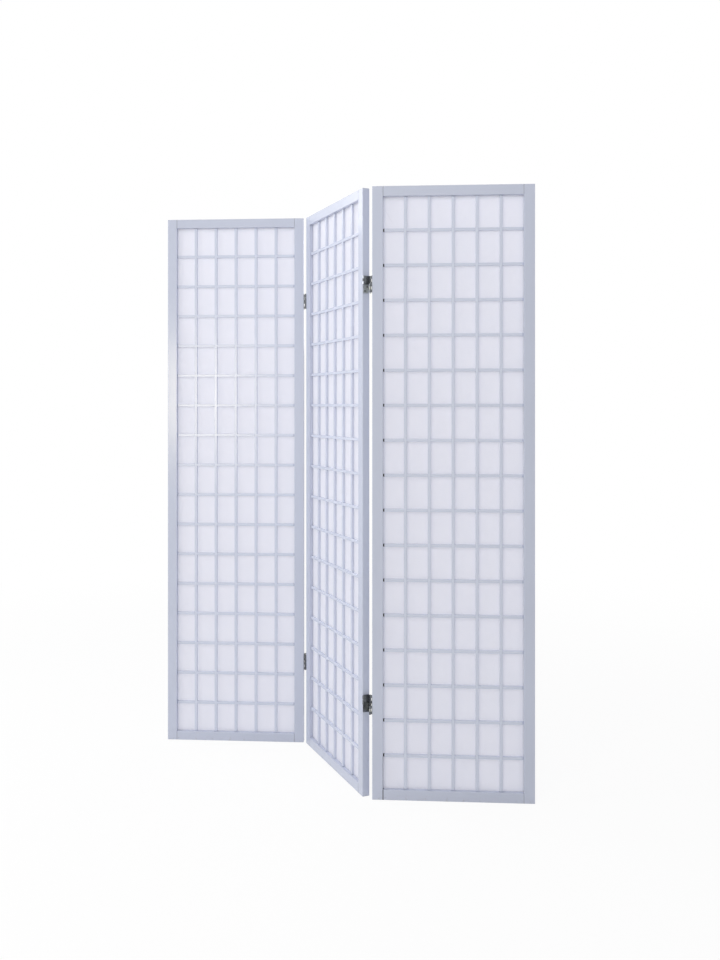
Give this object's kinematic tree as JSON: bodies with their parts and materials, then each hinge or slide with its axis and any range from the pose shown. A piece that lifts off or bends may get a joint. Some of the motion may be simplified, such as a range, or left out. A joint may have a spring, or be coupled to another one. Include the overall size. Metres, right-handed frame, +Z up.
{
  "type": "folding screen",
  "caption": "Free-standing folding lattice screen with translucent paper panes in white wooden frames, joined by two-way hinges that fold either way.",
  "frame": {"origin": "on the floor, under the centre of the middle panel and of the whole screen as it stands folded", "axes": "+Z up, +X along both wings from the left one to the right one, -Y towards the lattice side that is seen in the picture"},
  "size_m": [1.1372, 0.4456, 1.7],
  "materials": {
    "painted_frame": "white semi-gloss lacquer",
    "painted_lattice": "white semi-gloss lacquer",
    "paper": "matt translucent fibre paper",
    "beads": "white satin lacquer",
    "dowels": "bare beech",
    "brads": "bright wire",
    "hinge_steel": "nickel-plated steel",
    "hinge_pins": "nickel-plated steel",
    "screws": "nickel-plated steel"
  },
  "bodies": {
    "middle_panel": {"left_lower_hinge_middle_leaf": "hinge_steel", "left_upper_hinge_middle_leaf": "hinge_steel", "middle_panel_bead_pins": "brads", "middle_panel_bottom_rail": "painted_frame", "middle_panel_corner_dowels": "dowels", "middle_panel_end_beads": "beads", "middle_panel_hinge_pins": "hinge_pins", "middle_panel_hinge_screws": "screws", "middle_panel_left_stile": "painted_frame", "middle_panel_level_bars": "painted_lattice", "middle_panel_paper": "paper", "middle_panel_right_stile": "painted_frame", "middle_panel_side_beads": "beads", "middle_panel_top_rail": "painted_frame", "middle_panel_upright_bars": "painted_lattice", "right_lower_hinge_middle_leaf": "hinge_steel", "right_upper_hinge_middle_leaf": "hinge_steel"},
    "left_wing": {"left_lower_hinge_wing_leaf": "hinge_steel", "left_panel_bead_pins": "brads", "left_panel_bottom_rail": "painted_frame", "left_panel_corner_dowels": "dowels", "left_panel_end_beads": "beads", "left_panel_hinge_pins": "hinge_pins", "left_panel_hinge_screws": "screws", "left_panel_left_stile": "painted_frame", "left_panel_level_bars": "painted_lattice", "left_panel_paper": "paper", "left_panel_right_stile": "painted_frame", "left_panel_side_beads": "beads", "left_panel_top_rail": "painted_frame", "left_panel_upright_bars": "painted_lattice", "left_upper_hinge_wing_leaf": "hinge_steel"},
    "right_wing": {"right_lower_hinge_wing_leaf": "hinge_steel", "right_panel_bead_pins": "brads", "right_panel_bottom_rail": "painted_frame", "right_panel_corner_dowels": "dowels", "right_panel_end_beads": "beads", "right_panel_hinge_pins": "hinge_pins", "right_panel_hinge_screws": "screws", "right_panel_left_stile": "painted_frame", "right_panel_level_bars": "painted_lattice", "right_panel_paper": "paper", "right_panel_right_stile": "painted_frame", "right_panel_side_beads": "beads", "right_panel_top_rail": "painted_frame", "right_panel_upright_bars": "painted_lattice", "right_upper_hinge_wing_leaf": "hinge_steel"},
    "left_upper_links": {"left_lower_hinge_upper_link": "hinge_steel", "left_upper_hinge_upper_link": "hinge_steel"},
    "left_lower_links": {"left_lower_hinge_lower_link": "hinge_steel", "left_upper_hinge_lower_link": "hinge_steel"},
    "right_upper_links": {"right_lower_hinge_upper_link": "hinge_steel", "right_upper_hinge_upper_link": "hinge_steel"},
    "right_lower_links": {"right_lower_hinge_lower_link": "hinge_steel", "right_upper_hinge_lower_link": "hinge_steel"}
  },
  "joints": [
    {"name": "left_wing_front_fold", "type": "hinge", "parent": "middle_panel", "child": "left_upper_links", "pos_m": [-0.11555, 0.19858, 0], "axis": [0, 0, 1], "range_deg": [-62.5, 117.5]},
    {"name": "left_wing_back_fold", "type": "hinge", "parent": "left_upper_links", "child": "left_wing", "pos_m": [-0.11555, 0.22018, 0], "axis": [0, 0, -1], "range_deg": [0, 100]},
    {"name": "left_lower_links_swing", "type": "hinge", "parent": "middle_panel", "child": "left_lower_links", "pos_m": [-0.09639, 0.20856, 0], "axis": [0, 0, -1], "range_deg": [0, 100]},
    {"name": "right_wing_back_fold", "type": "hinge", "parent": "middle_panel", "child": "right_lower_links", "pos_m": [0.11555, -0.19858, 0], "axis": [0, 0, 1], "range_deg": [-62.5, 117.5]},
    {"name": "right_wing_front_fold", "type": "hinge", "parent": "right_lower_links", "child": "right_wing", "pos_m": [0.11555, -0.22018, 0], "axis": [0, 0, -1], "range_deg": [0, 100]},
    {"name": "right_upper_links_swing", "type": "hinge", "parent": "middle_panel", "child": "right_upper_links", "pos_m": [0.09639, -0.20856, 0], "axis": [0, 0, -1], "range_deg": [0, 100]}
  ],
  "couplings": [
    {"joint": "left_lower_links_swing", "follows": "left_wing_back_fold", "ratio": 1},
    {"joint": "right_upper_links_swing", "follows": "right_wing_front_fold", "ratio": 1}
  ]
}
